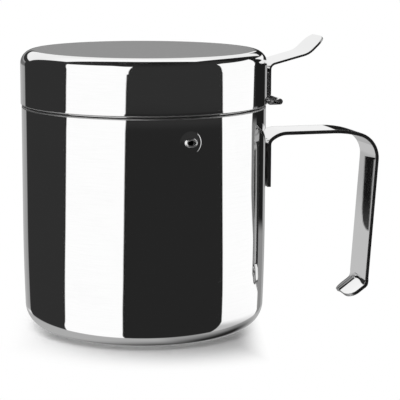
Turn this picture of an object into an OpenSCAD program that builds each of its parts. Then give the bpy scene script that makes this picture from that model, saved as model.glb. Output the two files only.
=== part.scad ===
// Oil cruet: a drawn steel pot with a pouring nose, a strap handle and a hinged lid on a thumb lever.
// Frame: the origin is the centre of the base, +Z is up and +X points along the handle. Millimetres.

/* [Pot] */
// Outer diameter of the pot
pot_d = 100; // [90:1:110]
// Height of the pot's shoulder, just under the lid's rim
pot_h = 91.45; // [80:0.05:105]
// Thickness of the drawn sheet of pot and lid
wall = 0.7; // [0.5:0.05:1]
// Outer radius of the rounded corner at the base
base_corner = 9.5; // [5:0.5:14]
// How much the wall draws in between the taper's start and the base corner
base_draw_in = 0.6; // [0:0.1:1.5]
// Height at which the wall starts to draw in
taper_start = 45.5; // [30:0.5:60]
// Rounding of the shoulder's outer edge
shoulder_round = 0.5; // [0.3:0.05:0.8]
// Step from the wall in to the neck that the lid covers
neck_step = 1.3; // [1.2:0.05:1.6]
// Height of the neck above the shoulder
neck_h = 6; // [5:0.5:8]

/* [Pouring nose] */
// Angle of the nose round the pot, counted from the handle
nose_angle = -83.4; // [-100:0.1:-70]
// Height of the nose's centre
nose_z = 81.7; // [75:0.1:86]
// Radius of the round collar where it meets the wall
collar_r = 4.2; // [3.5:0.1:5]
// How far the collar's flat face stands out of the wall
collar_h = 0.3; // [0.2:0.05:0.6]
// Width of the collar's sloping edge
collar_edge = 0.6; // [0.4:0.05:1]
// How far the oval lip stands out of the wall
lip_reach = 1.5; // [1.2:0.1:2.5]
// Outer width of the oval lip
mouth_w = 5.2; // [4:0.1:6]
// Outer height of the oval lip
mouth_h = 3.5; // [2.8:0.1:4]
// Thickness of the oval lip
mouth_t = 0.85; // [0.5:0.05:0.9]

/* [Handle] */
// Width of the handle strap
strap_w = 18; // [14:0.5:22]
// Thickness of the handle strap
strap_t = 1.5; // [1.2:0.1:2]
// Gap between the pot and the middle of the strap's weld plate
plate_gap = 0.8; // [0.5:0.1:1.2]
// Height of the weld plate's lower end
plate_z = 56.2; // [50:0.1:62]
// Straight length of the weld plate
plate_len = 17.7; // [15:0.1:20]
// Straight length along the top of the handle
top_len = 21.1; // [15:0.1:26]
// Straight length of the outer leg
leg_len = 51.1; // [40:0.1:60]
// Length of the turned-in lip at the foot of the leg
lip_len = 8.3; // [6:0.1:12]
// Corner radius of the lip's end
lip_corner = 5; // [2:0.5:6]
// Diameter of a weld nugget
nugget_d = 4; // [3:0.5:5]

/* [Lid] */
// Outer diameter of the lid
lid_d = 100.7; // [91:0.1:111]
// Height of the lid from its rim to its top
lid_h = 22.05; // [16:0.05:28]
// Outer radius of the lid's top edge
lid_corner = 5.7; // [3:0.1:8]
// Gap between the closed lid's rim and the shoulder
rim_gap = 0.45; // [0.4:0.05:0.8]

/* [Hinge and lever] */
// Distance of the hinge pin from the pot's axis
pin_x = 55.85; // [54:0.05:58]
// Height of the hinge pin
pin_z = 91.9; // [91.7:0.05:92.3]
// Radius of the hinge pin
pin_r = 0.7; // [0.6:0.05:0.8]
// Thickness of the hinge leaves
leaf_t = 0.5; // [0.4:0.05:0.6]
// Width of the hinge leaves
hinge_w = 18; // [14:0.5:20]
// Width of the lid leaf's knuckle in the middle
mid_w = 7; // [5:0.5:9]
// Width of the thumb lever
lever_w = 18.6; // [14:0.2:22]
// Thickness of the thumb lever
lever_t = 0.9; // [0.7:0.05:1.2]
// Straight length of the lever's leg against the lid
lever_leg = 10.5; // [8:0.1:12]
// Straight length of the lever up to its elbow
lever_arm = 13.1; // [9:0.1:16]
// Straight length of the lever from its elbow to its tip
lever_tip = 7.5; // [5:0.1:10]
// Corner radius of the lever's tip
tip_corner = 5; // [2:0.5:7]

/* [Hidden] */
$fn = 96;
// Facets of the large round cutters
fine = 720;
// Largest turn taken in one go along a bend
bend_turn = 4;

polished = "Gainsboro";
bright = "Silver";
dull = "DarkGray";

pot_r = pot_d / 2;
base_r = pot_r - base_draw_in;
neck_r = pot_r - neck_step;
neck_top = pot_h + neck_h;
lid_r = lid_d / 2;
rim_z = pot_h + rim_gap;
lid_top = rim_z + lid_h;

// Room left round a turning knuckle and beside it
swing_gap = 0.3;
// Running clearance between pin and knuckles
pin_fit = 0.05;
knuckle_bore = pin_r + pin_fit;
knuckle_mid = knuckle_bore + leaf_t / 2;
knuckle_r = knuckle_bore + leaf_t;
// Angle a leaf is rolled round the pin
knuckle_roll = 235;
// How far a leaf runs into its own knuckle's roll
roll_lap = 0.15;
pin_head_r = 1.0;
pin_head_t = 0.35;

// The pot's leaf stands on the shoulder, steps down past its edge and rolls up round the pin
leaf_mid_z = pot_h + leaf_t / 2;
step_angle = 45;
step_r = 0.7;
step_drop = leaf_mid_z - (pin_z - knuckle_mid);
step_len = (step_drop - 2 * step_r * (1 - cos(step_angle))) / sin(step_angle);
step_x = pot_r + 0.2;
step_run = 2 * step_r * sin(step_angle) + step_len * cos(step_angle);
flange_h = 4.8;
flange_w = 16;
notch_h = 0.95;

// The lid's leaf lies flat between the lid and the lever, slopes out and rolls over the pin
lid_leaf_x = lid_r + 0.05 + leaf_t / 2;
slope_angle = 10;
slope_r = 0.9;
lid_leaf_top = 104;
lever_x = lid_leaf_x + leaf_t / 2 + lever_t / 2;

// A strip is a list of steps: [length, 0] runs straight on, [radius, angle] bends, left positive.
// A place on it is [x, z, heading].
function after(step, p) =
    step[1] == 0
    ? [p[0] + step[0] * cos(p[2]), p[1] + step[0] * sin(p[2]), p[2]]
    : let (side = sign(step[1]), h = p[2] + step[1])
      [p[0] + side * step[0] * (sin(h) - sin(p[2])),
       p[1] - side * step[0] * (cos(h) - cos(p[2])),
       h];

function place(steps, start, n) = n == 0 ? start : after(steps[n - 1], place(steps, start, n - 1));

// The places along a strip, with a bend taken in small turns
function part_of(step, share) = step[1] == 0 ? [step[0] * share, 0] : [step[0], step[1] * share];

function places(steps, start) = concat([start], [
    for (i = [0:len(steps) - 1])
        let (p = place(steps, start, i), turns = ceil(abs(steps[i][1]) / bend_turn) + 1)
        for (j = [1:turns]) after(part_of(steps[i], j / turns), p)
]);

function beside(p, out) = [p[0] - out * sin(p[2]), p[1] + out * cos(p[2])];

// Handle: weld plate, two bends up and out, top, two bends down, leg and turned-in lip
strap_start = [pot_r + plate_gap + strap_t / 2, plate_z, 90];
leg_lean = 3.9;
strap_steps = [
    [plate_len, 0], [2.85, -50], [10.45, -40], [top_len, 0],
    [42, -16], [10.8, -74 - leg_lean], [leg_len, 0],
    [4, -51], [lip_len, 0]
];

// Pot leaf: out over the shoulder, step down and out to the pin
pot_leaf_start = [neck_r - 2, leaf_mid_z, 0];
pot_leaf_steps = [
    [step_x - pot_leaf_start[0], 0], [step_r, -step_angle], [step_len, 0], [step_r, step_angle],
    [pin_x - step_x - step_run + roll_lap, 0]
];

// Lid leaf: from the top of its knuckle up the slope and up between lid and lever
roll_out = 90 - slope_angle;
roll_end = [pin_x + knuckle_mid * cos(roll_out), pin_z + knuckle_mid * sin(roll_out)];
slope_len = (roll_end[0] - lid_leaf_x - slope_r * (1 - sin(slope_angle))) / cos(slope_angle);
leaf_bend_z = roll_end[1] + slope_len * sin(slope_angle) + slope_r * cos(slope_angle);
slope_start = [roll_end[0], roll_end[1], 180 - slope_angle];
// The leaf is only as wide as its knuckle until it is clear of the pot leaf's knuckles
slope_clear = sqrt(pow(knuckle_r + swing_gap, 2) - pow(knuckle_bore, 2));
tongue_start = after([-roll_lap, 0], slope_start);
tongue_steps = [[slope_len + roll_lap, 0]];
lid_leaf_start = after([slope_clear, 0], slope_start);
lid_leaf_steps = [
    [slope_len - slope_clear, 0], [slope_r, slope_angle - 90], [lid_leaf_top - leaf_bend_z, 0]
];

// Lever: leg against the lid's leaf, bend out, arm, elbow and raised tip
lever_start = [lever_x, leaf_bend_z + 0.1, 90];
lever_steps = [[lever_leg, 0], [2.6, -75.6], [lever_arm, 0], [9, 28.6], [lever_tip, 0]];

module strip_profile(steps, start, t) {
    path = places(steps, start);
    polygon(concat(
        [for (p = path) beside(p, t / 2)],
        [for (i = [len(path) - 1:-1:0]) beside(path[i], -t / 2)]));
}

// A knuckle rolled round the pin, from one angle to the other
module knuckle_profile(first, last) {
    reach = 3 * knuckle_r;
    corners = 8;
    translate([pin_x, pin_z]) intersection() {
        difference() {
            circle(knuckle_r);
            circle(knuckle_bore);
        }
        polygon(concat([[0, 0]],
            [for (i = [0:corners])
                let (a = first + (last - first) * i / corners) [reach * cos(a), reach * sin(a)]]));
    }
}

// A profile drawn in X and Z, drawn out to a width across Y
module across(w) {
    rotate([90, 0, 0]) linear_extrude(w, center = true) children();
}

module strip(steps, start, t, w) {
    across(w) strip_profile(steps, start, t);
}

// What the two rounded corners at a strip's end take away
module end_corners(steps, start, t, w, r) {
    p = place(steps, start, len(steps));
    past = 1;
    translate([p[0], 0, p[1]]) rotate([0, -p[2], 0])
        for (side = [-1, 1]) scale([1, side, 1])
            translate([-r, w / 2 - r, -2 * t]) difference() {
                cube([r + past, r + past, 4 * t]);
                cylinder(r = r, h = 4 * t);
            }
}

module cross_pin(r, w) {
    translate([pin_x, 0, pin_z]) rotate([90, 0, 0]) cylinder(r = r, h = w, center = true);
}

// Half of a drum's outline: rounded base corner, drawn-in wall and rounded shoulder
module drum_outline(r, low_r, corner, taper_z, top, shoulder) {
    polygon([
        [0, 0], [low_r - corner, 0], [low_r - corner, corner], [low_r, corner], [r, taper_z],
        [r, top - shoulder], [r - shoulder, top - shoulder], [r - shoulder, top], [0, top]
    ]);
    intersection() {
        translate([low_r - corner, corner]) circle(corner);
        translate([low_r - corner, 0]) square(corner);
    }
    intersection() {
        translate([r - shoulder, top - shoulder]) circle(shoulder);
        translate([r - shoulder, top - shoulder]) square(shoulder);
    }
}

module pot_outline() {
    drum_outline(pot_r, base_r, base_corner, taper_start, pot_h, shoulder_round);
    translate([0, taper_start]) square([neck_r, neck_top - wall / 2 - taper_start]);
    translate([neck_r - wall / 2, neck_top - wall / 2]) circle(wall / 2);
}

module pot_hollow() {
    inner_corner = base_corner - wall;
    translate([0, wall])
        drum_outline(pot_r - wall, base_r - wall, inner_corner, taper_start - wall,
                     pot_h - 2 * wall, shoulder_round / 2);
    translate([0, taper_start]) square([neck_r - wall, neck_top]);
}

// Moves its children to the nose's root, with Z pointing straight out of the wall from below its face
module at_nose(depth) {
    rotate([0, 0, nose_angle]) translate([pot_r - depth, 0, nose_z]) rotate([0, 90, 0]) children();
}

// The lip's oval, drawn in by an inset
module mouth_outline(inset) {
    r = mouth_h / 2 - inset;
    spread = mouth_w - mouth_h;
    for (side = [-1, 1]) translate([0, side * spread / 2]) circle(r);
    square([2 * r, spread], center = true);
}

module nose_bore() {
    depth = 5;
    at_nose(depth) linear_extrude(depth + 2 * lip_reach) mouth_outline(mouth_t);
}

module pot_body() {
    color(polished)
    difference() {
        rotate_extrude() difference() {
            pot_outline();
            pot_hollow();
        }
        nose_bore();
    }
}

module pour_nose() {
    depth = 1;
    slope = collar_edge / collar_h;
    color(bright)
    difference() {
        at_nose(depth) {
            cylinder(r1 = collar_r + slope * depth, r2 = collar_r - collar_edge, h = depth + collar_h);
            linear_extrude(depth + lip_reach) mouth_outline(0);
        }
        cylinder(r = pot_r, h = neck_top, $fn = fine);
        nose_bore();
    }
}

module handle_strap() {
    color(bright)
    difference() {
        strip(strap_steps, strap_start, strap_t, strap_w);
        end_corners(strap_steps, strap_start, strap_t, strap_w, lip_corner);
    }
}

// Nuggets that fill the gap between a round wall and a flat plate at plate_x
module welds(wall_r, plate_x, heights, spread) {
    difference() {
        for (z = heights, side = [-1, 1])
            translate([wall_r - 2, side * spread / 2, z]) rotate([0, 90, 0])
                cylinder(d = nugget_d, h = plate_x - wall_r + 2);
        cylinder(r = wall_r, h = lid_top, $fn = fine);
    }
}

module handle_welds() {
    color(dull)
    welds(pot_r, pot_r + plate_gap, [plate_z + 4, plate_z + plate_len - 4], strap_w / 2);
}

module pot_hinge_leaf() {
    color(bright)
    difference() {
        union() {
            across(hinge_w) {
                strip_profile(pot_leaf_steps, pot_leaf_start, leaf_t);
                knuckle_profile(-90, knuckle_roll - 90);
            }
            intersection() {
                translate([0, 0, pot_h]) cylinder(r = neck_r + leaf_t, h = flange_h, $fn = fine);
                translate([0, -flange_w / 2, pot_h]) cube([pot_r, flange_w, flange_h]);
            }
        }
        cylinder(r = neck_r, h = lid_top, $fn = fine);
        cross_pin(knuckle_r + swing_gap, mid_w + 2 * swing_gap);
        translate([pin_x - knuckle_r - swing_gap, -mid_w / 2 - swing_gap, pin_z - 3])
            cube([4, mid_w + 2 * swing_gap, 3]);
    }
}

module hinge_pin() {
    color(dull) {
        cross_pin(pin_r, hinge_w + 2 * pin_head_t);
        for (side = [-1, 1])
            translate([0, side * (hinge_w + pin_head_t) / 2, 0]) cross_pin(pin_head_r, pin_head_t);
    }
}

module lid_outline(r, top, corner, low) {
    translate([0, low]) square([r, top - corner - low]);
    translate([0, low]) square([r - corner, top - low]);
    translate([r - corner, top - corner]) circle(corner);
}

module lid_cap() {
    notch_w = hinge_w + 1;
    color(polished)
    difference() {
        rotate_extrude() {
            difference() {
                lid_outline(lid_r, lid_top, lid_corner, rim_z + wall / 2);
                lid_outline(lid_r - wall, lid_top - wall, lid_corner - wall, 0);
            }
            translate([lid_r - wall / 2, rim_z + wall / 2]) circle(wall / 2);
        }
        translate([pot_r - 5, -notch_w / 2, rim_z - 1]) cube([10, notch_w, notch_h + 1 - rim_gap]);
    }
}

module lid_hinge_leaf() {
    color(bright) {
        strip(lid_leaf_steps, lid_leaf_start, leaf_t, hinge_w);
        across(mid_w) {
            strip_profile(tongue_steps, tongue_start, leaf_t);
            knuckle_profile(roll_out - knuckle_roll, roll_out);
        }
    }
}

module thumb_lever() {
    color(bright)
    difference() {
        strip(lever_steps, lever_start, lever_t, lever_w);
        end_corners(lever_steps, lever_start, lever_t, lever_w, tip_corner);
    }
}

module lid_welds() {
    color(dull)
    welds(lid_r, lid_leaf_x - leaf_t / 2, [lever_start[1] + 4.5], hinge_w / 2);
}

pot_body();
pour_nose();
handle_strap();
handle_welds();
pot_hinge_leaf();
hinge_pin();
lid_cap();
lid_hinge_leaf();
thumb_lever();
lid_welds();
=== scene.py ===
import math

import bmesh
import bpy
from mathutils import Euler, Matrix, Vector


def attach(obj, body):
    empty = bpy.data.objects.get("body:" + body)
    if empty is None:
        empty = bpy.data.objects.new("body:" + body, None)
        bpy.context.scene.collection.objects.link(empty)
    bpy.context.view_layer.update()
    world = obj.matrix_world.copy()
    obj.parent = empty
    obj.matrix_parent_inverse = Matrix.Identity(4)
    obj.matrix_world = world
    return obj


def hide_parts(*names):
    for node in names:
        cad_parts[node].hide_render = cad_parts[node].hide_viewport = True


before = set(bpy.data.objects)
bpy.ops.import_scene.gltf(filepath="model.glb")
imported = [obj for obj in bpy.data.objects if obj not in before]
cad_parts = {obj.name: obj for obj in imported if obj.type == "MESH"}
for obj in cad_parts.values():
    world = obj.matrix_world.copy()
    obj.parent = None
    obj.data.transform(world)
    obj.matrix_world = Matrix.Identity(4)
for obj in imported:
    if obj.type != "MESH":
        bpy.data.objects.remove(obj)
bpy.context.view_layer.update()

# A polished steel oil cruet. Eight of its nodes are modelled again here as finer meshes, and the two
# weld nodes keep their solids.

# The sizes in this list are in millimetres and degrees, in the frame of the solids.
MM = 0.001

# Pot: outer radii and heights, and the sheet that the lid is drawn from too. The wall's rings lie
# closer together round the nose.
POT_R = 50.0
SHEET = 0.7
BASE_R = 49.4
BASE_CORNER = 9.5
DRAW_IN_TOP = 45.5
DRAW_IN_RINGS = 12
WALL_RINGS = (56, 66, 74, 77.4, 78.8, 80.2, 81.2, 82.2, 83.2, 84.6, 86)
SHOULDER_Z = 91.45
SHOULDER_ROUND = 0.7
NECK_R = 48.7
NECK_FILLET = 0.2
NECK_TOP = 97.45

# Lid, with a notch in its rim over the hinge.
LID_R = 50.35
LID_RIM_Z = 91.9
LID_BEAD = 0.5
LID_RINGS = (103.0, 98.0, 95.0, 93.4)
LID_TOP = 113.95
LID_CORNER = 5.7
NOTCH_W = 19.0
NOTCH_TOP = 92.4
NOTCH_CUTTER_X = 8.0
NOTCH_CUTTER_Z = 4.0

# Pouring nose in the wall: its rings from the collar over the lip into the bore, each as
# (width, height, distance out of the wall).
NOSE_ANGLE = -83.4
NOSE_Z = 81.7
NOSE_BORE_W = 3.5
NOSE_BORE_H = 1.8
NOSE_BORE_REACH = 3.0
NOSE_LIP_OUT = 1.0
NOSE_RINGS = [
    (10.0, 10.0, -0.22), (9.2, 9.2, -0.06), (8.7, 8.7, 0.04), (8.35, 8.35, 0.1), (8.15, 8.15, 0.105),
    (5.3, 3.95, 0.105), (5.0, 3.65, 0.13), (4.85, 3.5, 0.25), (4.77, 3.42, 0.6), (4.75, 3.4, 1.1),
    (4.68, 3.33, 1.3), (4.5, 3.12, 1.45), (4.2, 2.75, 1.5), (3.9, 2.35, 1.45), (3.72, 2.1, 1.3),
    (3.62, 1.95, 1.1), (3.5, 1.8, 0.7), (3.5, 1.8, 0.3), (3.5, 1.8, -0.4),
]

# Handle strap: its start (x, z, heading) and its steps, a straight run as
# (length, 0) and a bend as (radius, angle), with left turns positive.
STRAP_T = 1.5
STRAP_W = 18.0
STRAP_START = (51.55, 56.2, 90.0)
STRAP_STEPS = [
    (17.7, 0), (2.85, -50), (10.45, -40), (21.1, 0), (42.0, -16),
    (10.8, -77.9), (51.1, 0), (4.0, -51), (8.3, 0),
]
STRAP_TIP_ROUND = 5.0
STRAP_EDGE = 0.12

# Crown of the strap's turned-in lip: how far its middle rises and its long edges fall, half the width
# that stays flat, the curve beyond that, the way over which the crown fades in past the leg, and where
# the strap is cut into lanes for it on each side of its middle.
LIP_RISE = 0.75
LIP_FALL = 1.7
LIP_FLAT = 0.6
LIP_CURVE = 1.25
LIP_FADE = 2.5
LIP_LANES = (0.6, 1.1, 1.7, 2.4, 3.2, 4.1, 5.1, 6.2, 7.4, 8.5)

# Thumb lever, drawn in the same way as the strap.
LEVER_T = 0.9
LEVER_W = 18.6
LEVER_START = (51.35, 94.687, 90.0)
LEVER_STEPS = [(10.5, 0), (2.6, -75.6), (13.1, 0), (9.0, 28.6), (7.5, 0)]
LEVER_TIP_ROUND = 5.0
LEVER_EDGE = 0.07

# Hinge: pin, and the two leaves rolled round it.
PIN_X = 55.85
PIN_Z = 91.9
PIN_R = 0.7
PIN_HALF = 9.0
PIN_HEAD_R = 1.0
PIN_HEAD_T = 0.35
PIN_EDGE = 0.12
LEAF_T = 0.5
LEAF_W = 18.0
LEAF_EDGE = 0.08
KNUCKLE_R = 1.0
ROLL = 235.0
POT_LEAF_START = (48.05, 91.7, 0.0)
POT_LEAF_STEPS = [(2.15, 0), (0.7, -45), (0.552, 0), (0.7, 45), (4.27, 0)]
POT_LEAF_GAP = 7.6
FLANGE_R = 48.95
FLANGE_W = 16.0
FLANGE_TOP = 96.25
LID_LEAF_START = (50.65, 104.0, -90.0)
LID_LEAF_SLOPE = 10.0
LID_LEAF_BEND = 0.9
LID_LEAF_TONGUE = 7.0
LID_LEAF_TONGUE_LEN = 1.357

# Facets: shells, bore, nose and pin round their axes, the flange along its arc, a strip's tip corner,
# and the turn of one facet in a bend.
SHELL_SIDES = 240
BORE_SIDES = 48
NOSE_SIDES = 96
PIN_SIDES = 40
FLANGE_FACETS = 16
TIP_FACETS = 9
BEND_FACET = 4.0

# A piece's finishes after its first one, how squarely a face looks along an axis that it is said to
# face, and a distance for telling faces apart.
SECOND_FINISH = 1
THIRD_FINISH = 2
FACING = 0.9
HAIR = 0.1

# Camera at the photograph's viewpoint, and the turn of its view and of the studio round the pot.
CAMERA_PLACE = (-168.23, -655.21, 168.01)
CAMERA_HEADING = 16.358
CAMERA_PITCH = 9.772
CAMERA_ROLL = 0.269
CAMERA_LENS = 149.02
CAMERA_SENSOR = 36
VIEW_SIDE = 14.4

# Floor: its size, its tone, the glow that lifts its shadow, and how much greyer it is outside the strip
# that the photograph shows. The strip widens from a point in front of the pot: how far that is, the
# strip's lean and half its width per length, how softly its sides end, and where it ends in front.
FLOOR_SIZE = 40000
FLOOR_TONE = 0.95
FLOOR_LIFT = 0.04
FLOOR_PALE = 0.3
STRIP_FOOT = 680
STRIP_LEAN = 0.035
STRIP_HALF = 0.14
STRIP_SOFT = 250
STRIP_FRONT = (160, 450)

# Shadow on the floor: its middle to the right of the pot's axis and away from the camera, and where it
# fades out all round, to the right and to the left.
SHADOW_MIDDLE = (6, -3)
SHADOW_FADE = (46, 78)
SHADOW_FADE_RIGHT = (36, 49)
SHADOW_FADE_LEFT = (34, 56)

# Soft light for all but mirrors: a level from all over, and two soft lamps in the sky, each as its
# direction (right, away, up), its level and how narrow it is. The second slants from behind left.
SOFT_FILL = 0.12
SOFT_LAMPS = [((-0.13, 0.05, 0.99), 3.3, 11.0), ((-0.26, 0.29, 0.92), 3.2, 16.0)]

# Brightness of what the steel mirrors: the white panels at the sides and overhead, the back wall, the
# dark room, and the board on the floor.
PANEL_LEVEL = 1.1
OVERHEAD_LEVEL = 0.93
WALL_LEVEL = 0.3
ROOM_LEVEL = 0.031
BOARD_LEVEL = 0.45


class Signal:
    """One output socket of a node tree, with the arithmetic that the shaders use."""

    def __init__(self, wiring, socket):
        self.wiring = wiring
        self.socket = socket

    def other(self, name):
        return Signal(self.wiring, self.socket.node.outputs[name])

    def math(self, operation, *values):
        return self.wiring.node("ShaderNodeMath", {"operation": operation}, dict(enumerate(values)))

    def __add__(self, value):
        return self.math("ADD", self, value)

    def __radd__(self, value):
        return self.math("ADD", value, self)

    def __sub__(self, value):
        return self.math("SUBTRACT", self, value)

    def __rsub__(self, value):
        return self.math("SUBTRACT", value, self)

    def __mul__(self, value):
        return self.math("MULTIPLY", self, value)

    def __rmul__(self, value):
        return self.math("MULTIPLY", value, self)

    def __pow__(self, value):
        return self.math("POWER", self, value)

    def __neg__(self):
        return self.math("MULTIPLY", self, -1.0)

    def __abs__(self):
        return self.math("ABSOLUTE", self)

    def at_least(self, value):
        return self.math("MAXIMUM", self, value)

    def at_most(self, value):
        return self.math("MINIMUM", self, value)

    def rise(self, low, high):
        """0 below low, 1 above high, smooth between them."""
        sockets = {"Value": self, "From Min": low, "From Max": high}
        return self.wiring.node("ShaderNodeMapRange", {"interpolation_type": "SMOOTHSTEP"}, sockets)

    def between(self, low, high, soft):
        """1 between two edges, which may be signals, with soft sides."""
        return (self - low).rise(-soft, soft) * (high - self).rise(-soft, soft)


class Wiring:
    """Adds the nodes of one material or of the world."""

    def __init__(self, tree):
        self.tree = tree
        tree.nodes.clear()

    def node(self, kind, settings, sockets, output=0):
        node = self.tree.nodes.new(kind)
        for key, value in settings.items():
            setattr(node, key, value)
        for key, value in sockets.items():
            if isinstance(value, Signal):
                self.tree.links.new(value.socket, node.inputs[key])
            else:
                node.inputs[key].default_value = value
        return Signal(self, node.outputs[output]) if node.outputs else None


def new_material(name):
    material = bpy.data.materials.new(name)
    material.use_nodes = True
    return material, Wiring(material.node_tree)


def noise(wiring, place, scale, detail, roughness):
    """An uneven pattern from 0 to 1 over the surface."""
    sockets = {"Vector": place, "Scale": scale, "Detail": detail, "Roughness": roughness}
    return wiring.node("ShaderNodeTexNoise", {}, sockets)


def steel_surface(wiring, tone, dull, relief):
    """Bare metal of a grey tone, with its roughness and its fine relief."""
    sockets = {"Base Color": tone, "Metallic": 1.0, "Roughness": dull, "Normal": relief}
    steel = wiring.node("ShaderNodeBsdfPrincipled", {}, sockets)
    wiring.node("ShaderNodeOutputMaterial", {}, {"Surface": steel})


def polished_steel(name, marks, roughness):
    """Mirror-polished steel with faint polishing marks, drawn out by the scales in marks, and wiped
    patches from handling."""
    material, wiring = new_material(name)
    place = wiring.node("ShaderNodeTexCoord", {}, {}, "Object")
    stretched = wiring.node("ShaderNodeMapping", {}, {"Vector": place, "Scale": marks})
    lines = noise(wiring, stretched, 1.0, 3.0, 0.6)
    wiped = noise(wiring, place, 60.0, 4.0, 0.55).rise(0.45, 0.75)
    tone = 0.9 - 0.02 * lines.rise(0.3, 0.8) - 0.015 * wiped
    dull = roughness + 0.014 * lines.rise(0.35, 0.75) + 0.01 * wiped
    relief = wiring.node("ShaderNodeBump", {}, {"Height": lines, "Strength": 0.02, "Distance": 0.02 * MM})
    steel_surface(wiring, tone, dull, relief)
    return material


def dull_steel(name, tone, roughness, grain):
    """Bare steel with a fine uneven grain: weld metal, cut edges, rims and the unpolished insides. The dark
    tones of cut edges and rims are partly painted shade.
    """
    material, wiring = new_material(name)
    place = wiring.node("ShaderNodeTexCoord", {}, {}, "Object")
    stretched = wiring.node("ShaderNodeMapping", {}, {"Vector": place, "Scale": grain})
    specks = noise(wiring, stretched, 1.0, 5.0, 0.6)
    colour = tone - 0.1 * tone * specks.rise(0.35, 0.75)
    dull = roughness + 0.1 * specks
    relief = wiring.node("ShaderNodeBump", {}, {"Height": specks, "Strength": 0.05, "Distance": 0.03 * MM})
    steel_surface(wiring, colour, dull, relief)
    return material


def named_piece(name):
    """The primitive that was just added, with its place put into its mesh, ready to be shaped."""
    piece = bpy.context.object
    piece.name = name
    piece.data.name = name
    bpy.ops.object.transform_apply(location=True, rotation=True, scale=True)
    bpy.ops.object.mode_set(mode="EDIT")
    bpy.ops.mesh.select_all(action="SELECT")
    return piece


def pick(piece, kind, test):
    """Select in edit mode the faces or edges that pass the test, and nothing else."""
    bpy.ops.mesh.select_mode(type="FACE" if kind == "faces" else "EDGE")
    bpy.ops.mesh.select_all(action="DESELECT")
    mesh = bmesh.from_edit_mesh(piece.data)
    for element in getattr(mesh, kind):
        if test(element):
            element.select_set(True)
    mesh.select_flush_mode()
    bmesh.update_edit_mesh(piece.data)


def close_up():
    """Merge doubles, turn all faces outwards and leave edit mode."""
    bpy.ops.mesh.select_mode(type="VERT")
    bpy.ops.mesh.select_all(action="SELECT")
    bpy.ops.mesh.remove_doubles(threshold=0.001 * MM)
    bpy.ops.mesh.normals_make_consistent(inside=False)
    bpy.ops.object.mode_set(mode="OBJECT")


def round_edges(piece, radius, segments):
    """Break the cut edges of a piece by a small radius."""
    rounding = piece.modifiers.new("rounding", "BEVEL")
    rounding.width = radius * MM
    rounding.segments = segments
    rounding.limit_method = "ANGLE"
    rounding.angle_limit = math.radians(40)
    bpy.ops.object.modifier_apply(modifier=rounding.name)


def shade(piece):
    """Smooth shading that keeps the flats flat, so that they mirror as flats do."""
    bpy.ops.object.shade_smooth()
    flats = piece.modifiers.new("flats", "WEIGHTED_NORMAL")
    flats.weight = 80
    bpy.ops.object.modifier_apply(modifier=flats.name)


def give_finishes(piece, *finishes):
    """Add a piece's finishes. All of its faces have the first one until finish_faces changes them."""
    for finish in finishes:
        piece.data.materials.append(finish)


def finish_faces(piece, index, test):
    """Give the faces that pass the test another of the piece's finishes than its first one."""
    bpy.ops.object.mode_set(mode="EDIT")
    pick(piece, "faces", test)
    piece.active_material_index = index
    bpy.ops.object.material_slot_assign()
    bpy.ops.object.mode_set(mode="OBJECT")


def hand_over(piece, body, node):
    """Let the finished piece move with its body and stand for its solid."""
    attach(piece, body)
    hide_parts(node)


def displace(piece, group, axis, amount):
    """Move the vertices of a group along X, Y or Z, each by its weight."""
    move = piece.modifiers.new("move", "DISPLACE")
    move.direction = axis
    move.vertex_group = group
    move.mid_level = 0
    move.strength = amount
    bpy.ops.object.modifier_apply(modifier=move.name)


def cut_with(piece, cutter):
    """Cut one mesh out of another and throw the cutter away."""
    hole = piece.modifiers.new("hole", "BOOLEAN")
    hole.operation = "DIFFERENCE"
    hole.solver = "EXACT"
    hole.object = cutter
    bpy.ops.object.select_all(action="DESELECT")
    piece.select_set(True)
    bpy.context.view_layer.objects.active = piece
    bpy.ops.object.modifier_apply(modifier=hole.name)
    bpy.data.objects.remove(cutter)


def arc(centre_r, centre_z, radius, start, end, count):
    """Points (r, z) along an arc, both ends included."""
    points = []
    for i in range(count + 1):
        angle = math.radians(start + (end - start) * i / count)
        points.append((centre_r + radius * math.cos(angle), centre_z + radius * math.sin(angle)))
    return points


def turned_shell(name, outline):
    """Raise a filled circle ring by ring along an outline of (radius, height), as a cup is modelled."""
    bpy.ops.object.select_all(action="DESELECT")
    radius, height = outline[0]
    bpy.ops.mesh.primitive_circle_add(
        vertices=SHELL_SIDES, radius=radius * MM, fill_type="NGON", location=(0, 0, height * MM)
    )
    piece = named_piece(name)
    for next_radius, next_height in outline[1:]:
        bpy.ops.mesh.extrude_region_move(
            TRANSFORM_OT_translate={"value": (0, 0, (next_height - height) * MM)}
        )
        scale = next_radius / radius
        bpy.ops.transform.resize(value=(scale, scale, 1), center_override=(0, 0, next_height * MM))
        radius, height = next_radius, next_height
    close_up()
    return piece


def finish_inside(shell):
    """Give the faces that look at the axis, and the inner floor or ceiling, the second finish."""
    height = max(v.co.z for v in shell.data.vertices)
    end_zone = 10 * MM
    inward = -0.05

    def looks_in(face):
        centre = face.calc_center_median()
        outward = (face.normal.x * centre.x + face.normal.y * centre.y) / max(centre.xy.length, 1 * MM)
        floor = face.normal.z > FACING and centre.z < end_zone
        ceiling = face.normal.z < -FACING and centre.z > height - end_zone
        return outward < inward or floor or ceiling

    finish_faces(shell, SECOND_FINISH, looks_in)


def oval(name, wide, tall, out, sides, fill):
    """A flat oval square to the Z axis, out above the origin, from which a piece is drawn."""
    bpy.ops.object.select_all(action="DESELECT")
    bpy.ops.mesh.primitive_circle_add(
        vertices=sides, radius=0.5 * MM, fill_type=fill, location=(0, 0, out * MM)
    )
    piece = named_piece(name)
    bpy.ops.transform.resize(value=(tall, wide, 1), center_override=(0, 0, out * MM))
    return piece


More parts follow.
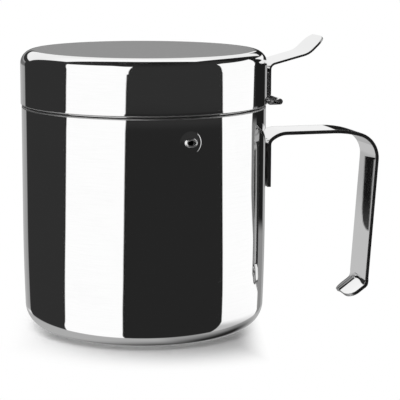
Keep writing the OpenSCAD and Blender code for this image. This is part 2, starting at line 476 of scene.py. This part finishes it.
def place_on_wall(piece, angle, radius, height):
    """Move a piece that was modelled along +Z at the origin onto a round wall, pointing outwards."""
    turn = math.radians(angle)
    piece.rotation_euler = (0, math.radians(90), turn)
    piece.location = (radius * math.cos(turn) * MM, radius * math.sin(turn) * MM, height * MM)
    bpy.ops.object.transform_apply(location=True, rotation=True, scale=True)


def bore_cutter():
    """An oval bar through the pot's wall, as wide as the nose's hole."""
    cutter = oval("bore_cutter", NOSE_BORE_W, NOSE_BORE_H, -NOSE_BORE_REACH, BORE_SIDES, "NGON")
    bpy.ops.mesh.extrude_region_move(TRANSFORM_OT_translate={"value": (0, 0, 2 * NOSE_BORE_REACH * MM)})
    close_up()
    place_on_wall(cutter, NOSE_ANGLE, POT_R, NOSE_Z)
    return cutter


def notch_cutter():
    """A block over the lid's rim at the hinge."""
    bpy.ops.object.select_all(action="DESELECT")
    middle = (LID_R * MM, 0, (NOTCH_TOP - NOTCH_CUTTER_Z / 2) * MM)
    block = (NOTCH_CUTTER_X * MM, NOTCH_W * MM, NOTCH_CUTTER_Z * MM)
    bpy.ops.mesh.primitive_cube_add(size=1, location=middle, scale=block)
    cutter = named_piece("notch_cutter")
    close_up()
    return cutter


def pot_shell(outside, inside, rim):
    """The pot, raised from its flat base up the outside, over the neck and down the inside."""
    corner_r = BASE_R - BASE_CORNER
    draw_in = POT_R - BASE_R
    draw_height = DRAW_IN_TOP - BASE_CORNER
    tilt = math.degrees(math.atan(2 * draw_in / draw_height))
    outline = arc(corner_r, BASE_CORNER, BASE_CORNER, -90, -tilt, 16)
    low = outline[-1][1]
    for i in range(1, DRAW_IN_RINGS + 1):
        z = low + (DRAW_IN_TOP - low) * i / DRAW_IN_RINGS
        outline.append((POT_R - draw_in * ((DRAW_IN_TOP - z) / draw_height) ** 2, z))
    outline += [(POT_R, z) for z in WALL_RINGS]
    shoulder_low = SHOULDER_Z - SHOULDER_ROUND
    outline += arc(POT_R - SHOULDER_ROUND, shoulder_low, SHOULDER_ROUND, 0, 90, 5)
    fillet_r = NECK_R + NECK_FILLET
    outline.append((fillet_r, SHOULDER_Z))
    outline += arc(fillet_r, SHOULDER_Z + NECK_FILLET, NECK_FILLET, 270, 180, 3)
    outline += arc(NECK_R - SHEET / 2, NECK_TOP - SHEET / 2, SHEET / 2, 0, 180, 8)
    outline.append((NECK_R - SHEET, SHOULDER_Z - SHEET))
    outline.append((POT_R - SHEET, SHOULDER_Z - SHEET))
    outline.append((POT_R - SHEET, DRAW_IN_TOP))
    outline += arc(corner_r, BASE_CORNER, BASE_CORNER - SHEET, 0, -90, 10)
    pot = turned_shell("pot_shell", outline)
    cut_with(pot, bore_cutter())
    shade(pot)
    give_finishes(pot, outside, inside, rim)
    finish_inside(pot)
    # The faces of the fillet lie above this.
    shoulder_high = SHOULDER_Z + NECK_FILLET / 10

    def on_shoulder(face):
        centre = face.calc_center_median()
        return shoulder_low * MM < centre.z < shoulder_high * MM and centre.xy.length > fillet_r * MM

    # The shoulder takes the rim finish, whose grey tone is partly painted shade in the joint under the lid.
    finish_faces(pot, THIRD_FINISH, on_shoulder)
    return pot


def lid_shell(outside, inside, rim):
    """The lid, raised from its flat top down the outside, round the beaded rim and up the inside."""
    corner_r = LID_R - LID_CORNER
    corner_z = LID_TOP - LID_CORNER
    bead_z = LID_RIM_Z + LID_BEAD
    outline = arc(corner_r, corner_z, LID_CORNER, 90, 0, 16)
    outline += [(LID_R, z) for z in LID_RINGS]
    outline += arc(LID_R - LID_BEAD, bead_z, LID_BEAD, 0, -180, 10)
    outline.append((LID_R - SHEET, LID_RINGS[-1]))
    outline += arc(corner_r, corner_z, LID_CORNER - SHEET, 0, 90, 10)
    lid = turned_shell("lid_shell", outline)
    cut_with(lid, notch_cutter())
    shade(lid)
    give_finishes(lid, outside, inside, rim)
    finish_inside(lid)
    # The bead takes the rim finish, whose grey tone is partly painted shade in the joint over the pot.
    finish_faces(lid, THIRD_FINISH, lambda face: face.calc_center_median().z < bead_z * MM)
    return lid


def pouring_nose(finish, lip_finish):
    """A thin collar that follows the wall, and a short oval spout with a ground lip."""
    wide, tall, out = NOSE_RINGS[0]
    half = wide / 2 * MM
    nose = oval("pouring_nose", wide, tall, out, NOSE_SIDES, "NOTHING")
    for next_wide, next_tall, next_out in NOSE_RINGS[1:]:
        bpy.ops.mesh.extrude_edges_move(TRANSFORM_OT_translate={"value": (0, 0, (next_out - out) * MM)})
        bpy.ops.transform.resize(
            value=(next_tall / tall, next_wide / wide, 1), center_override=(0, 0, next_out * MM)
        )
        wide, tall, out = next_wide, next_tall, next_out
    pick(nose, "edges", lambda edge: edge.is_boundary)
    bpy.ops.mesh.bridge_edge_loops()
    close_up()
    wrap = nose.vertex_groups.new(name="wrap")
    for vertex in nose.data.vertices:
        wrap.add([vertex.index], (vertex.co.y / half) ** 2, "REPLACE")
    give_finishes(nose, finish, lip_finish)
    finish_faces(nose, SECOND_FINISH, lambda face: face.calc_center_median().z > NOSE_LIP_OUT * MM)
    displace(nose, "wrap", "Z", -half * half / (2 * POT_R * MM))
    nose.vertex_groups.clear()
    place_on_wall(nose, NOSE_ANGLE, POT_R, NOSE_Z)
    shade(nose)
    return nose


def run_strip(start, steps):
    """Draw the selected faces along straight runs and bends in the XZ plane, and return where they end."""
    x, z, heading = start
    for size, turn in steps:
        along = math.radians(heading)
        if turn == 0:
            x += size * math.cos(along)
            z += size * math.sin(along)
            move = (size * math.cos(along) * MM, 0, size * math.sin(along) * MM)
            bpy.ops.mesh.extrude_region_move(TRANSFORM_OT_translate={"value": move})
            continue
        side = math.copysign(1, turn)
        centre_x = x - side * size * math.sin(along)
        centre_z = z + side * size * math.cos(along)
        bpy.ops.mesh.spin(
            steps=max(3, math.ceil(abs(turn) / BEND_FACET)),
            angle=math.radians(abs(turn)),
            center=(centre_x * MM, 0, centre_z * MM),
            axis=(0, side, 0),
            use_auto_merge=False,
        )
        heading += turn
        along = math.radians(heading)
        x = centre_x + side * size * math.sin(along)
        z = centre_z - side * size * math.cos(along)
    return x, z, heading


def cut_face(name, start, thickness, width):
    """The cut end of a flat strip, square to its heading, from which the strip is drawn."""
    bpy.ops.object.select_all(action="DESELECT")
    x, z, heading = start
    bpy.ops.mesh.primitive_plane_add(
        size=1, location=(x * MM, 0, z * MM), rotation=(0, math.radians(90 - heading), 0)
    )
    bpy.context.object.scale = (thickness * MM, width * MM, 1)
    return named_piece(name)


def add_lanes(piece, inner, width):
    """Widen a cut face of width inner to a full width by one more face on each side."""
    for side in (1, -1):
        pick(piece, "edges", lambda edge: all(v.co.y * side > inner * MM * 0.4 for v in edge.verts))
        shift = side * (width - inner) / 2
        bpy.ops.mesh.extrude_region_move(TRANSFORM_OT_translate={"value": (0, shift * MM, 0)})
    bpy.ops.mesh.select_mode(type="FACE")
    bpy.ops.mesh.select_all(action="SELECT")


def direction(heading):
    """The unit vector of a heading in the XZ plane."""
    return Vector((math.cos(math.radians(heading)), 0, math.sin(math.radians(heading))))


def near(point, x, z, reach):
    """Whether a point lies within reach of a place in the XZ plane."""
    return math.hypot(point.x - x * MM, point.z - z * MM) < reach * MM


def round_tip(piece, end, thickness, width, radius):
    """Round the two corners of a strip's free end."""
    x, z = end[:2]
    corner = 0.49 * width * MM

    def at_corner(edge):
        first, second = edge.verts
        same_side = first.co.y * second.co.y > 0
        return same_side and all(near(v.co, x, z, thickness) and abs(v.co.y) > corner for v in edge.verts)

    pick(piece, "edges", at_corner)
    bpy.ops.mesh.bevel(offset=radius * MM, offset_type="OFFSET", segments=TIP_FACETS, affect="EDGES")


def bent_strip(name, start, steps, thickness, width, tip_round):
    """A flat strip drawn along its steps, with a rounded free end, and where it ends."""
    piece = cut_face(name, start, thickness, width)
    end = run_strip(start, steps)
    round_tip(piece, end, thickness, width, tip_round)
    close_up()
    return piece, end


def finish_cut_edges(strip, start, end):
    """Give the sheared sides and ends of a strip, with their rounded corners, its second finish, whose dark
    tone is partly painted shade.
    """
    sideways = 0.3
    endways = 0.5
    end_zone = 6

    def sheared(face):
        if abs(face.normal.y) > sideways:
            return True
        for x, z, heading in (start, end):
            looks_along = abs(face.normal.dot(direction(heading))) > endways
            if looks_along and near(face.calc_center_median(), x, z, end_zone):
                return True
        return False

    finish_faces(strip, SECOND_FINISH, sheared)


def crown_lip(strap, tip):
    """Raise the middle of the turned-in lip and let its long edges fall. The leg above it stays flat."""
    x, z, heading = tip
    lip_len = STRAP_STEPS[-1][0]
    bend_r, bend_turn = STRAP_STEPS[-2]
    along = direction(heading)
    leg = direction(heading - bend_turn)
    lip_start = Vector((x, 0, z)) - lip_len * along
    bend_reach = bend_r * math.sin(math.radians(abs(bend_turn)))
    bpy.ops.object.mode_set(mode="EDIT")
    for lane in LIP_LANES:
        for side in (1, -1):
            bpy.ops.mesh.select_all(action="SELECT")
            bpy.ops.mesh.bisect(plane_co=(0, side * lane * MM, 0), plane_no=(0, 1, 0))
    close_up()
    fall = strap.vertex_groups.new(name="fall")
    rise = strap.vertex_groups.new(name="rise")
    for vertex in strap.data.vertices:
        if near(vertex.co, x, z, lip_len + 2 * bend_r):
            past_leg = (vertex.co / MM - lip_start).dot(leg) + bend_reach
            share = min(1.0, max(0.0, past_leg / LIP_FADE))
            off_flat = max(0.0, abs(vertex.co.y) / MM - LIP_FLAT) / (STRAP_W / 2 - LIP_FLAT)
            fall.add([vertex.index], share * off_flat ** LIP_CURVE, "REPLACE")
            rise.add([vertex.index], share, "REPLACE")
    for group, amount in (("fall", -LIP_FALL), ("rise", LIP_RISE)):
        displace(strap, group, "X", amount * along.z * MM)
        displace(strap, group, "Z", -amount * along.x * MM)
    strap.vertex_groups.clear()


def handle_strap(finish, sheared_edge_and_shade, plate_back_finish):
    """The handle, from its welded plate over the bow and down the leg to the turned-in lip."""
    strap, tip = bent_strip("handle_bow", STRAP_START, STRAP_STEPS, STRAP_T, STRAP_W, STRAP_TIP_ROUND)
    crown_lip(strap, tip)
    round_edges(strap, STRAP_EDGE, 2)
    shade(strap)
    give_finishes(strap, finish, sheared_edge_and_shade, plate_back_finish)
    finish_cut_edges(strap, STRAP_START, tip)
    plate_x = (STRAP_START[0] - STRAP_T / 2 + HAIR) * MM

    def on_plate_back(face):
        return face.normal.x < -FACING and face.calc_center_median().x < plate_x

    finish_faces(strap, THIRD_FINISH, on_plate_back)
    return strap


def thumb_lever(finish, sheared_edge_and_shade):
    """The lever, from its plate against the lid to the thumb tip."""
    lever, tip = bent_strip("lever_blade", LEVER_START, LEVER_STEPS, LEVER_T, LEVER_W, LEVER_TIP_ROUND)
    round_edges(lever, LEVER_EDGE, 2)
    shade(lever)
    give_finishes(lever, finish, sheared_edge_and_shade)
    finish_cut_edges(lever, LEVER_START, tip)
    return lever


def neck_flange():
    """The pot leaf's flange, curved round the neck."""
    bpy.ops.object.select_all(action="DESELECT")
    middle = (FLANGE_R * MM, 0, (SHOULDER_Z + FLANGE_TOP) / 2 * MM)
    bpy.ops.mesh.primitive_plane_add(size=1, location=middle, rotation=(math.radians(90), 0, 0))
    bpy.context.object.scale = (LEAF_T * MM, (FLANGE_TOP - SHOULDER_Z) * MM, 1)
    named_piece("pot_flange")
    half = math.asin(FLANGE_W / 2 / FLANGE_R)
    bpy.ops.transform.rotate(value=-half, orient_axis="Z", center_override=(0, 0, 0))
    bpy.ops.mesh.spin(
        steps=FLANGE_FACETS, angle=2 * half, center=(0, 0, 0), axis=(0, 0, 1), use_auto_merge=False
    )
    close_up()


def pot_leaf(finish):
    """The leaf that stands on the pot's neck, steps down and rolls up round the pin in two knuckles."""
    leaf = cut_face("pot_leaf", POT_LEAF_START, LEAF_T, POT_LEAF_GAP)
    add_lanes(leaf, POT_LEAF_GAP, LEAF_W)
    x, z, heading = run_strip(POT_LEAF_START, POT_LEAF_STEPS)

    def at_side(face):
        centre = face.calc_center_median()
        return near(centre, x, z, HAIR) and abs(centre.y) > POT_LEAF_GAP * MM / 2

    pick(leaf, "faces", at_side)
    run_strip((x, z, heading), [(PIN_X - x, 0), (KNUCKLE_R, ROLL)])
    close_up()
    neck_flange()
    leaf.select_set(True)
    bpy.context.view_layer.objects.active = leaf
    bpy.ops.object.join()
    round_edges(leaf, LEAF_EDGE, 2)
    shade(leaf)
    give_finishes(leaf, finish)
    return leaf


def lid_leaf(finish):
    """The leaf that stands flat against the lid, slopes out and rolls down round the pin in one knuckle."""
    roll_from = 90.0 - LID_LEAF_SLOPE
    roll_x = PIN_X + KNUCKLE_R * math.cos(math.radians(roll_from))
    roll_z = PIN_Z + KNUCKLE_R * math.sin(math.radians(roll_from))
    tilt = math.radians(LID_LEAF_SLOPE)
    bend_out = LID_LEAF_BEND * (1 - math.sin(tilt))
    slope_len = (roll_x - LID_LEAF_START[0] - bend_out) / math.cos(tilt)
    bend_z = roll_z + slope_len * math.sin(tilt) + LID_LEAF_BEND * math.cos(tilt)
    leaf = cut_face("lid_leaf", LID_LEAF_START, LEAF_T, LID_LEAF_TONGUE)
    add_lanes(leaf, LID_LEAF_TONGUE, LEAF_W)
    down = (LID_LEAF_START[1] - bend_z, 0)
    bend = (LID_LEAF_BEND, roll_from)
    out = (slope_len - LID_LEAF_TONGUE_LEN, 0)
    x, z, heading = run_strip(LID_LEAF_START, [down, bend, out])

    def at_middle(face):
        centre = face.calc_center_median()
        return near(centre, x, z, HAIR) and abs(centre.y) < LID_LEAF_TONGUE * MM / 2

    pick(leaf, "faces", at_middle)
    run_strip((x, z, heading), [(LID_LEAF_TONGUE_LEN, 0), (KNUCKLE_R, -ROLL)])
    close_up()
    round_edges(leaf, LEAF_EDGE, 2)
    shade(leaf)
    give_finishes(leaf, finish)
    return leaf


def hinge_rivet(finish):
    """The pin, with a flat rounded head on each end."""
    bpy.ops.object.select_all(action="DESELECT")
    bpy.ops.mesh.primitive_cylinder_add(
        vertices=PIN_SIDES,
        radius=PIN_R * MM,
        depth=2 * PIN_HALF * MM,
        location=(PIN_X * MM, 0, PIN_Z * MM),
        rotation=(math.radians(90), 0, 0),
    )
    rivet = named_piece("hinge_rivet")
    grow = PIN_HEAD_R / PIN_R
    for side in (1, -1):
        pick(rivet, "faces", lambda face: face.calc_center_median().y * side > 0.99 * PIN_HALF * MM)
        rim = (PIN_X * MM, side * PIN_HALF * MM, PIN_Z * MM)
        bpy.ops.mesh.extrude_region_move(TRANSFORM_OT_translate={"value": (0, 0, 0)})
        bpy.ops.transform.resize(value=(grow, 1, grow), center_override=rim)
        bpy.ops.mesh.extrude_region_move(TRANSFORM_OT_translate={"value": (0, side * PIN_HEAD_T * MM, 0)})
    close_up()
    round_edges(rivet, PIN_EDGE, 3)
    shade(rivet)
    give_finishes(rivet, finish)
    return rivet


def view_axes(x, y):
    """How far a place or a direction lies to the right in the photograph's view, and how far away."""
    cos = math.cos(math.radians(VIEW_SIDE))
    sin = math.sin(math.radians(VIEW_SIDE))
    return x * cos - y * sin, x * sin + y * cos


class Outlook:
    """A direction from the pot into the studio. Turn is the way round from the camera, to the right, and
    from_back the way round from straight behind. Lift is the height above level and drop the depth
    below it. All four are in degrees."""

    def __init__(self, right, away, up):
        degrees = 180 / math.pi
        self.right = right
        self.away = away
        self.up = up
        self.turn = right.math("ARCTAN2", right, -away) * degrees
        self.lift = up.math("ARCSINE", up) * degrees
        self.drop = -self.lift
        self.to_left = self.turn.math("LESS_THAN", self.turn, 0.0)
        self.to_right = 1.0 - self.to_left
        self.from_back = 180.0 - abs(self.turn)


def side_panel_edges(look):
    """The edges of the white panels that stand left and right of the pot, as (start, end, top) in degrees.
    Towards the floor, and high up, the panels bend away from the camera."""
    drop, lift, turn = look.drop, look.lift, look.turn
    # The zone just below level, the zone below that down to the floor, and the zone above level.
    down = (drop - 3.0).at_least(0.0).at_most(12.0)
    steep = (drop - 15.0).at_least(0.0)
    steep_squared = steep * steep
    above = (lift - 3.0).at_least(0.0)
    above_squared = above * above

    left_start = -73.9 - 0.6 * down.at_least(2.0) - 0.45 * steep - 0.00035 * steep * steep_squared
    left_start = left_start - 0.0125 * above_squared
    left_end = down * (0.033 * down - 0.87) - 14.1 - 0.7 * drop.rise(14.0, 17.0)
    left_end = left_end - 0.07 * steep - 0.00008 * steep * steep_squared
    left_top = 60.0 - (turn + 12.0) * (turn + 12.0) * 0.0029 - 5.0 * turn.rise(-45.0, -22.0)

    # The far end of the right panel steps out near the floor.
    right_start = 75.9 + 0.35 * down + 0.01 * steep_squared + 0.0085 * above_squared
    right_end = 122.8 + 0.62 * (lift - 3.5).at_least(0.0) - 1.8 * drop.rise(5.0, 7.5)
    right_end = right_end + 5.0 * drop.rise(9.2, 11.6) + 16.0 * drop.rise(13.2, 13.9)
    right_top = 43.2 - (turn - 99.5).at_least(0.0) * 0.38
    return (left_start, left_end, left_top), (right_start, right_end, right_top)


def standing_panel(look, edges, soft):
    """1 on a panel that stands on the floor."""
    start, end, top = edges
    return look.turn.between(start, end, soft) * (top - look.lift).rise(-soft, soft)


def overhead_panel(look):
    """The white panel overhead, whose far edge comes down behind the pot nearly to level."""
    front = (look.away - look.up * 0.25 - abs(look.right) * 0.12).rise(-0.01, 0.01)
    left_side = (look.right - look.up * 0.075 + 0.665).rise(-0.01, 0.01)
    right_side = (0.36 - look.right).rise(-0.01, 0.01)
    left_back = look.from_back.at_most(12.0) * 0.41
    left_back = left_back + (look.from_back - 12.0).at_least(0.0).at_most(12.0) * 0.2
    right_back = (look.from_back - 6.7).at_least(0.0).at_most(1.4) * 6.0
    back_edge = 6.2 + look.to_left * left_back + look.to_right * right_back
    back = (look.lift - back_edge).rise(-0.6, 0.6)
    level = OVERHEAD_LEVEL + 0.15 * look.lift.rise(30.0, 60.0)
    return front * left_side * right_side * back * level


def corner_light(look):
    """The small white panel behind right, beside the overhead panel's corner."""
    start = 145.0 + (19.0 - look.lift) * 0.4
    end = 151.0 + (18.0 - look.lift) * 1.35
    return look.turn.between(start, end, 1.0) * look.lift.between(7.0, 20.5, 0.7)


def back_wall(look):
    """The grey wall straight behind, darker at the pot's level and lighter towards the floor."""
    left = look.to_left * (35.5 - look.from_back).rise(-2.0, 2.0)
    reach = 14.5 - 9.5 * look.lift.rise(0.0, 1.0) + 11.0 * look.drop.rise(3.0, 5.0)
    right = look.to_right * (reach - look.from_back).rise(-2.0, 2.0)
    right = right * (1.0 - look.lift.between(-2.5, 2.8, 0.6))
    level = WALL_LEVEL - 0.14 * look.lift.between(-3.2, 3.2, 0.8)
    level = level + 0.1 * look.drop.rise(3.5, 5.0) + 0.5 * look.drop.rise(14.0, 17.0)
    left_glow = 0.12 * (1.0 - look.from_back.rise(14.0, 32.0)) - 0.04
    level = level + look.to_left * look.drop.rise(3.0, 5.0) * left_glow
    below_overhead = 1.0 - look.lift.rise(5.6, 6.8)
    return (left + right) * below_overhead * level


def low_right(look, panel_end):
    """The grey floor beyond the end of the right panel."""
    wide = 0.27 * look.turn.rise(126.0, 134.0) * look.drop.rise(10.3, 11.1)
    narrow = 0.2 * look.turn.between(panel_end, 131.0, 0.8) * look.drop.rise(6.6, 7.2)
    return wide.at_least(narrow)


def dark_room(look, panels):
    """The dark between the panels, darker low in front, high up, behind right and close to the panels."""
    front = look.turn.between(-50.0, 100.0, 10.0)
    level = ROOM_LEVEL - 0.011 * front * look.drop.rise(6.5, 7.3)
    level = level - 0.018 * look.lift.rise(45.0, 85.0) - 0.018 * look.turn.rise(123.0, 128.0)
    return level * (1.0 - 1.2 * panels)


def studio(right, away, up):
    """What the polished steel mirrors: white panels at both sides and overhead behind, dark between
    them, and a grey board under the pot, on which its shadow lies."""
    look = Outlook(right, away, up)
    left_edges, right_edges = side_panel_edges(look)
    crisp = 0.6
    blurred = 3.0
    beside = standing_panel(look, left_edges, blurred)
    beside = beside.at_least(standing_panel(look, right_edges, blurred))
    right_level = 1.0 - 0.5 * look.drop.rise(13.0, 36.0)
    right_panel = standing_panel(look, right_edges, crisp) * right_level
    panels = standing_panel(look, left_edges, crisp).at_least(right_panel)
    level = dark_room(look, beside).at_least(back_wall(look)).at_least(low_right(look, right_edges[1]))
    level = level.at_least(panels * PANEL_LEVEL).at_least(overhead_panel(look)).at_least(corner_light(look))
    # The board is round, and its middle lies 60 degrees below level, behind.
    board = (away * 0.5 - up * 0.866).rise(0.655, 0.7)
    shadow = 0.42 * away.rise(-0.2, 0.9) * right.rise(-0.35, 0.05) + 0.1 * right.between(0.2, 0.55, 0.1)
    shadow = shadow * look.drop.rise(20.0, 42.0)
    return level * (1.0 - board) + board * (BOARD_LEVEL - shadow).at_least(0.02)


def studio_world():
    """White to the camera, the studio for mirrors, and soft light from above for all else."""
    world = bpy.data.worlds.new("studio")
    bpy.context.scene.world = world
    world.use_nodes = True
    wiring = Wiring(world.node_tree)
    outward = wiring.node("ShaderNodeTexCoord", {}, {}, "Generated")
    x = wiring.node("ShaderNodeSeparateXYZ", {}, {"Vector": outward})
    right, away = view_axes(x, x.other("Y"))
    up = x.other("Z")
    camera_ray = wiring.node("ShaderNodeLightPath", {}, {}, "Is Camera Ray")
    glossy_ray = camera_ray.other("Is Glossy Ray")
    soft = SOFT_FILL
    for (lamp_right, lamp_away, lamp_up), lamp_level, narrow in SOFT_LAMPS:
        toward = (up * lamp_up + right * lamp_right + away * lamp_away).at_least(0.0)
        soft = soft + lamp_level * toward ** narrow
    plain = camera_ray + soft * (1.0 - camera_ray)
    level = studio(right, away, up) * glossy_ray + plain * (1.0 - glossy_ray)
    light = wiring.node("ShaderNodeBackground", {}, {"Color": level, "Strength": 1.0})
    wiring.node("ShaderNodeOutputWorld", {}, {"Surface": light})


def pale_floor():
    """A wide floor, white where the photograph shows it and pale grey elsewhere, that keeps the shadow near
    the pot. The steel mirrors the studio through it."""
    bpy.ops.object.select_all(action="DESELECT")
    bpy.ops.mesh.primitive_plane_add(size=FLOOR_SIZE * MM, location=(0, 0, 0))
    floor = bpy.context.object
    floor.name = "floor"
    material, wiring = new_material("white floor")
    place = wiring.node("ShaderNodeTexCoord", {}, {}, "Object")
    x = wiring.node("ShaderNodeSeparateXYZ", {}, {"Vector": place})
    right, away = view_axes(x, x.other("Y"))
    camera_ray = wiring.node("ShaderNodeLightPath", {}, {}, "Is Camera Ray")

    # The lit floor, which takes the shadow.
    matt = wiring.node("ShaderNodeBsdfDiffuse", {}, {"Color": (FLOOR_TONE, FLOOR_TONE, FLOOR_TONE, 1)})
    lift = wiring.node("ShaderNodeEmission", {}, {"Color": camera_ray * FLOOR_LIFT, "Strength": 1.0})
    lit = wiring.node("ShaderNodeAddShader", {}, {0: matt, 1: lift})

    # The plain floor round it, white in the photograph's strip.
    depth = away + STRIP_FOOT * MM
    off_strip = abs(right - STRIP_LEAN * depth) - STRIP_HALF * depth
    in_front = (-away).rise(STRIP_FRONT[0] * MM, STRIP_FRONT[1] * MM)
    pale = off_strip.rise(0.0, STRIP_SOFT * MM).at_least(in_front)
    plain = wiring.node("ShaderNodeEmission", {}, {"Color": 1.0 - FLOOR_PALE * pale, "Strength": 1.0})

    # Where the shadow has faded out, the camera sees the plain floor.
    off_right = right - SHADOW_MIDDLE[0] * MM
    off_away = away - SHADOW_MIDDLE[1] * MM
    spread = (off_right * off_right + off_away * off_away) ** 0.5
    past_right = right.rise(SHADOW_FADE_RIGHT[0] * MM, SHADOW_FADE_RIGHT[1] * MM)
    past_left = (-right).rise(SHADOW_FADE_LEFT[0] * MM, SHADOW_FADE_LEFT[1] * MM)
    faded = spread.rise(SHADOW_FADE[0] * MM, SHADOW_FADE[1] * MM).at_least(past_right.at_least(past_left))
    seen = wiring.node("ShaderNodeMixShader", {}, {"Fac": camera_ray * faded, 1: lit, 2: plain})

    clear = wiring.node("ShaderNodeBsdfTransparent", {}, {})
    glossy_ray = camera_ray.other("Is Glossy Ray")
    mixed = wiring.node("ShaderNodeMixShader", {}, {"Fac": glossy_ray, 1: seen, 2: clear})
    wiring.node("ShaderNodeOutputMaterial", {}, {"Surface": mixed})
    floor.data.materials.append(material)


def mirrored_card(name, place, turn, width, height):
    """An upright card that only mirrors see, and the coordinates across it and up it for its tone."""
    bpy.ops.object.select_all(action="DESELECT")
    location = [value * MM for value in place]
    upright = (math.radians(90), 0, math.radians(turn))
    bpy.ops.mesh.primitive_plane_add(size=1, location=location, rotation=upright)
    card = bpy.context.object
    card.name = name
    bpy.ops.object.mode_set(mode="EDIT")
    bpy.ops.transform.resize(value=(width * MM, height * MM, 1), orient_type="LOCAL")
    bpy.ops.object.mode_set(mode="OBJECT")
    for ray in ("camera", "diffuse", "transmission", "volume_scatter", "shadow"):
        setattr(card, "visible_" + ray, False)
    material, wiring = new_material(name)
    coordinates = wiring.node("ShaderNodeTexCoord", {}, {}, "Object")
    across = wiring.node("ShaderNodeSeparateXYZ", {}, {"Vector": coordinates})
    card.data.materials.append(material)
    return wiring, across, across.other("Y")


def glow(wiring, tone):
    """Let a card shine with its tone, so that mirrors show just that."""
    light = wiring.node("ShaderNodeEmission", {}, {"Color": tone, "Strength": 1.0})
    wiring.node("ShaderNodeOutputMaterial", {}, {"Surface": light})


def leg_card():
    """A grey card with a dark flag behind the pot, for the inside of the handle's leg to mirror."""
    wiring, across, height = mirrored_card("leg_card", (29.69, 229.89, 16.2), 23.1, 135, 120)
    # The flag's long edges lean. Its lower right corner is round, and drawn out upwards.
    left_lean, left_edge = 0.069, -32.02 * MM
    right_lean, right_edge = 0.0913, -27.17 * MM
    foot = -14.3 * MM
    corner = 4.7 * MM
    corner_squash = 0.3615
    softness = 0.3 * MM
    past_right = (across - right_lean * height - right_edge + corner).at_least(0.0)
    past_foot = (corner - corner_squash * (height - foot)).at_least(0.0)
    inside = corner - (past_right * past_right + past_foot * past_foot) ** 0.5
    inside = inside.at_most(across - left_lean * height - left_edge)
    flag = inside.rise(-softness, softness)
    depth = -height
    grey = 0.47 + 0.09 * depth.rise(-15 * MM, 12 * MM)
    dark = 0.008 + 0.04 * depth.rise(-8 * MM, 15 * MM)
    glow(wiring, grey * (1.0 - flag) + dark * flag)


def lip_card():
    """A grey card with a dark upper edge behind the handle, for the far side of the lip to mirror."""
    wiring, _, height = mirrored_card("lip_card", (90, 200, 72.5), 0, 56, 69)
    glow(wiring, 0.26 - 0.24 * height.rise(22 * MM, 25 * MM))


def bend_card():
    """A dark card behind the pot, for the bend above the lip to mirror."""
    wiring, _, _ = mirrored_card("bend_card", (32.5, 150, 91.5), 0, 95, 59)
    glow(wiring, (0.02, 0.02, 0.02, 1))


def place_camera():
    """The camera at the photograph's viewpoint, with its lens."""
    lens = bpy.data.cameras.new("camera")
    lens.sensor_width = CAMERA_SENSOR
    lens.lens = CAMERA_LENS
    lens.clip_start = 0.01
    lens.clip_end = 100
    eye = bpy.data.objects.new("camera", lens)
    bpy.context.scene.collection.objects.link(eye)
    look = Euler((math.radians(90 - CAMERA_PITCH), 0, -math.radians(CAMERA_HEADING))).to_matrix()
    look = look @ Matrix.Rotation(math.radians(CAMERA_ROLL), 3, "Z")
    place = Matrix.Translation([value * MM for value in CAMERA_PLACE])
    eye.matrix_world = place @ look.to_4x4()
    bpy.context.scene.camera = eye


bpy.context.scene.view_settings.view_transform = "Standard"
place_camera()
studio_world()
pale_floor()
leg_card()
lip_card()
bend_card()

# Finishes: polished ones by the scales of their marks and their roughness, dull ones by their tone,
# their roughness and the scales of their grain.
shell_finish = polished_steel("polished shell", (90, 90, 2600), 0.03)
fitting_finish = polished_steel("bright strip", (140, 2200, 140), 0.012)
inside_finish = dull_steel("drawn inside", 0.84, 0.16, (120, 120, 2400))
weld_finish = dull_steel("weld metal", 0.5, 0.34, (1800, 1800, 1800))
# Cut edges: rough sheared steel, with a dark tone that is partly painted shade along the edges.
sheared_edge_and_shade = dull_steel("sheared edge and painted shade", 0.4, 0.24, (900, 900, 2600))
tint_finish = dull_steel("weld tint", 0.3, 0.3, (500, 500, 500))
# Rims: satin rolled steel, with a grey tone that is partly painted shade in the joint of lid and pot.
rim_and_joint_shade = dull_steel("rolled rim and painted joint shade", 0.5, 0.42, (800, 800, 800))
lip_finish = dull_steel("ground lip", 0.98, 0.26, (900, 900, 900))

hand_over(pot_shell(shell_finish, inside_finish, rim_and_joint_shade), "pot", "pot_body")
hand_over(pouring_nose(fitting_finish, lip_finish), "pot", "pour_nose")
hand_over(handle_strap(fitting_finish, sheared_edge_and_shade, tint_finish), "pot", "handle_strap")
hand_over(lid_shell(shell_finish, inside_finish, rim_and_joint_shade), "lid", "lid_cap")
hand_over(thumb_lever(fitting_finish, sheared_edge_and_shade), "lid", "thumb_lever")
hand_over(pot_leaf(fitting_finish), "pot", "pot_hinge_leaf")
hand_over(lid_leaf(fitting_finish), "lid", "lid_hinge_leaf")
hand_over(hinge_rivet(weld_finish), "pot", "hinge_pin")
for node in ("handle_welds", "lid_welds"):
    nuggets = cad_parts[node]
    nuggets.data.materials.clear()
    nuggets.data.materials.append(weld_finish)
